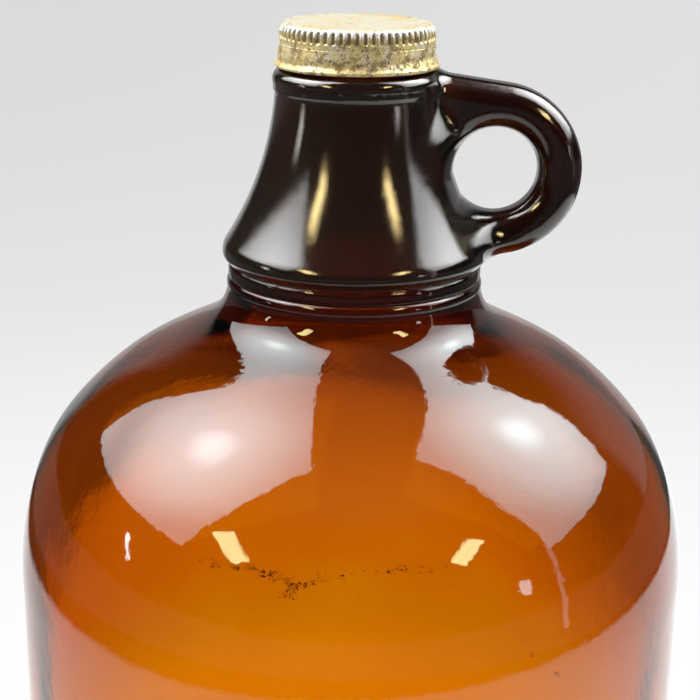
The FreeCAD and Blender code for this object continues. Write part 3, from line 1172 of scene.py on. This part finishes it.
# metres and strengths; a pair is where a change starts and ends
stage = {
    "size": 6.0,
    "floor": (0.82, 0.82, 0.82),
    # the floor as the camera sees it: painted light, brighter by the jug, dimmer far off, and changing
    # from left to right
    "near": 1.04,
    "far": 0.86,
    "nearToFar": (0.15, 0.85),
    "across": (0.97, 1.03),
    "acrossReach": (-0.6, 0.6),
    "cameraShare": 0.8,         # the rest is the plain floor, which keeps the shadow
    # as gloss shows it: a lit white sheet under the jug, dark round it, a backdrop behind
    "sheet": (0.07, 0.07),
    "sheetEdge": (0.50, 0.56),
    "sheetDark": 0.02,
    "sheetAcross": (-0.4, 0.5, 1.2, 1.6),
    "sheetDeep": (-0.5, 0.0, 0.6, 1.0),
    "backdrop": 0.42,
    "floorBackdrop": 1.3,       # times as bright where the floor carries it
    "farGlow": 0.12,
    "farEdge": (0.62, 0.72),
    # as seen through the glass, painted light: brightest close behind the jug, dimmer to its sides
    "throughMiddle": (-0.01, 0.12),
    "throughNear": 1.3,
    "throughEdge": (0.09, 0.17),
    "dimRight": (0.06, 0.16, 1.0, 0.5),
    "dimLeft": (0.14, 0.20, 1.0, 0.30),
    "dimFrom": 0.4,             # the bright way narrows beyond this, by the slope below
    "dimSlope": 0.25,
    "dimBehind": (0.12, 0.20),
    # the world
    "worldLight": 0.30,
    "worldBack": 0.90,
    "room": 0.02,               # dark room level with the jug, as gloss shows it
    "roomAbove": 0.13,
    "roomRise": (0.72, 0.9),
    "rightward": 0.42,
    "backdropFall": (0.25, 0.55),
    "wedge": (0.50, 0.66),      # how wide the backdrop stands, sideways over back
    "throughBackdrop": 0.55,
    "throughFall": (0.05, 0.45),
    "throughRoom": (0.15, 0.5, 0.06, 0.40),
}


def layered(plain, inGloss, through, forCamera, cameraShare=1.0):
    # the plain look, what gloss sees, what shows through glass and what the camera sees
    rays = node(plain, "ShaderNodeLightPath").outputs
    seen = plain
    for kind, share, look in (("Glossy", 1.0, inGloss), ("Transmission", 1.0, through),
                              ("Camera", cameraShare, forCamera)):
        mix = node(plain, "ShaderNodeMixShader")
        wire(times(rays["Is " + kind + " Ray"], share), mix.inputs[0])
        wire(seen.outputs[0], mix.inputs[1])
        wire(look.outputs[0], mix.inputs[2])
        seen = mix
    return seen


def behindShare(x, y, rightward=1.0):
    # 1 in the wedge straight behind the jug, wider to the right when rightward is below 1
    sideways = greater(times(x, rightward), times(x, -1.0))
    back = greater(y, 0.0001)
    return spread(maths("DIVIDE", sideways, back), *stage["wedge"], 1.0, 0.0)


def floorInGloss(place, x, y):
    reach = reachFrom(place, stage["sheet"])
    sheet = spread(reach, *stage["sheetEdge"], 1.0, stage["sheetDark"])
    glow = times(spread(x, *stage["sheetAcross"]), spread(y, *stage["sheetDeep"]))
    behind = times(behindShare(x, y), stage["backdrop"] * stage["floorBackdrop"])
    away = reachFrom(place)
    behind = greater(behind, spread(away, *stage["farEdge"], 0.0, stage["farGlow"]))
    return shine(greater(times(sheet, glow), behind))


def floorThroughGlass(place, x, y):
    # painted light on the floor behind the jug, for what shows through the glass
    away = reachFrom(place, stage["throughMiddle"])
    near = spread(away, *stage["throughEdge"], stage["throughNear"], 1.0)
    deeper = times(minus(y, stage["dimFrom"]), stage["dimSlope"])
    right = spread(plus(x, deeper), *stage["dimRight"])
    left = spread(minus(deeper, x), *stage["dimLeft"])
    inFront = spread(y, *stage["dimBehind"], 1.0, 0.0)
    bright = greater(times(right, left), inFront)
    return shine(times(near, bright))


def floorForCamera(place, x):
    away = reachFrom(place)
    # painted light: brighter by the jug, dimmer far off, a little brighter to the right
    floorGlow = spread(away, *stage["nearToFar"], stage["near"], stage["far"])
    return shine(times(floorGlow, spread(x, *stage["acrossReach"], *stage["across"])))


def paleFloor():
    material, tree = newMaterial("paleFloor")
    place = node(tree, "ShaderNodeNewGeometry").outputs["Position"]
    x, y, _ = separate(place)
    plain = node(tree, "ShaderNodeBsdfDiffuse")
    plain.inputs["Color"].default_value = (*stage["floor"], 1.0)
    showSurface(layered(plain, floorInGloss(place, x, y), floorThroughGlass(place, x, y),
                        floorForCamera(place, x), stage["cameraShare"]))
    return material


def makeFloor():
    half = stage["size"]
    corners = [(-half, -half), (half, -half), (half, half), (-half, half)]
    makeSheet("floor", corners, paleFloor()).location.z = jugLow.z
    print("floor set")


def makeWorld():
    world = bpy.data.worlds.new("studio")
    bpy.context.scene.world = world
    world.use_nodes = True
    tree = world.node_tree
    tree.nodes.clear()
    x, y, z = separate(node(tree, "ShaderNodeTexCoord").outputs["Generated"])
    background = "ShaderNodeBackground"
    wide = behindShare(x, y, stage["rightward"])
    wide = times(wide, spread(z, *stage["backdropFall"], 1.0, 0.0))
    room = spread(z, *stage["roomRise"], stage["room"], stage["roomAbove"])
    gloss = plus(times(wide, stage["backdrop"]), room)
    narrow = times(behindShare(x, y), spread(z, *stage["throughFall"], 1.0, 0.0))
    through = times(narrow, stage["throughBackdrop"])
    through = plus(through, spread(z, *stage["throughRoom"]))
    light = node(tree, background, Strength=stage["worldLight"])
    back = node(tree, background, Strength=stage["worldBack"])
    seen = layered(light, shine(gloss, background), shine(through, background), back)
    showSurface(seen, "ShaderNodeOutputWorld")
    print("world set")


# each softbox is an area light for the plain level and a panel that only gloss sees
softboxes = {
    "leftBox": {
        "at": (-0.455, 0.06, 0.82),
        # corners of the panel: along the table, up its slope
        "corners": ((-0.56, -0.47), (0.50, -0.45), (0.24, 0.40), (-0.33, 0.37)),
        "hot": (-0.05, 0.0),
        "wide": 1.0,
        "tall": 0.9,
        "light": 2.0,
    },
    "rightBox": {
        "at": (0.555, 0.02, 0.79),
        "corners": ((-0.345, -0.47), (0.41, -0.40), (0.50, 0.40), (-0.19, 0.40)),
        "hot": (0.17, 0.02),
        "wide": 0.75,
        "tall": 0.8,
        "light": 2.0,
    },
}
# brightness of a panel: at its edge, added towards its middle, added at the hot spot
panelGlow = {"edge": 3.7, "middle": 8.0, "hot": 8.0, "middleReach": (0.05, 0.55), "hotReach": (0.0, 0.15)}
lamps = {
    "warmLeft": {"turn": -43, "rise": 29, "away": 0.9, "wide": 0.10, "tall": 0.25, "roll": 40,
                 "glow": 17.0, "colour": (1.0, 0.76, 0.34)},
    "warmRight": {"turn": 42, "rise": 29, "away": 0.9, "wide": 0.09, "tall": 0.22, "roll": -42,
                  "glow": 17.0, "colour": (1.0, 0.76, 0.34)},
    "pinkRight": {"turn": 57, "rise": 6, "away": 1.0, "wide": 0.07, "tall": 0.09, "roll": 0,
                  "glow": 7.0, "colour": (1.0, 0.86, 0.84)},
    "standRight": {"turn": 70, "rise": 3, "away": 1.0, "wide": 0.035, "tall": 0.58, "roll": 0,
                   "glow": 1.7, "colour": (1.0, 0.8, 0.75)},
    "whiteLeft": {"turn": -79, "rise": 9, "away": 1.0, "wide": 0.03, "tall": 0.16, "roll": 30,
                  "glow": 14.0, "colour": (1.0, 0.95, 0.9)},
}
lightMiddle = Vector((0, 0, 0.2))      # what all of them face
wattsPerGlow = 4.0                      # for each square metre of lamp


def makeLight(name, spot, wide, tall, glow, colour=(1, 1, 1), roll=0.0):
    data = bpy.data.lights.new(name, "AREA")
    data.shape = "RECTANGLE"
    data.size = wide
    data.size_y = tall
    data.color = colour
    data.energy = glow * wattsPerGlow * wide * tall
    light = newObject(name, data)
    facing = (lightMiddle - spot).to_track_quat("-Z", "Y").to_matrix().to_4x4()
    light.matrix_world = Matrix.Translation(spot) @ facing @ Matrix.Rotation(math.radians(roll), 4, "Z")
    light.visible_camera = False
    return light


def onlyInGloss(thing):
    thing.visible_diffuse = False
    thing.visible_transmission = False
    thing.visible_volume_scatter = False
    thing.visible_shadow = False
    thing.visible_camera = False


def panelMaterial(name, hot):
    material, tree = newMaterial(name)
    away = reachFrom(objectPlace(tree), hot)
    middle = spread(away, *panelGlow["middleReach"], panelGlow["middle"], 0.0)
    core = spread(away, *panelGlow["hotReach"], panelGlow["hot"], 0.0)
    showSurface(shine(plus(plus(middle, core), panelGlow["edge"])))
    return material


def makePanel(name, box):
    spot = Vector(box["at"])
    out = (spot - lightMiddle).normalized()
    along = Vector((0, 1, 0))
    up = out.cross(along).normalized()
    if up.z < 0:
        up = -up
    along = (along - out * along.dot(out)).normalized()
    panel = makeSheet(name, box["corners"], panelMaterial(name, box["hot"]))
    turn = Matrix((along, up, along.cross(up))).transposed().to_4x4()
    panel.matrix_world = Matrix.Translation(spot) @ turn
    onlyInGloss(panel)


def makeLights(glass):
    group = bpy.data.collections.new("glassOnly")
    group.objects.link(glass)
    for name, box in softboxes.items():
        light = makeLight(name, Vector(box["at"]), box["wide"], box["tall"], box["light"])
        light.visible_glossy = False
        makePanel(name + "Panel", box)
    for name, lamp in lamps.items():
        turn, rise = math.radians(lamp["turn"]), math.radians(lamp["rise"])
        way = Vector((math.sin(turn) * math.cos(rise), -math.cos(turn) * math.cos(rise), math.sin(rise)))
        light = makeLight(name, lightMiddle + way * lamp["away"], lamp["wide"], lamp["tall"],
                          lamp["glow"], lamp["colour"], lamp["roll"])
        onlyInGloss(light)
        light.light_linking.receiver_collection = group
    print("lights set:", len(softboxes) + len(lamps))


makeCamera()
jugPiece = makeJug(amberGlass())
makeCap(wornTin())
makeDirt(driedDirt())
makeFloor()
makeWorld()
makeLights(jugPiece)
bpy.context.scene.view_settings.view_transform = "Standard"
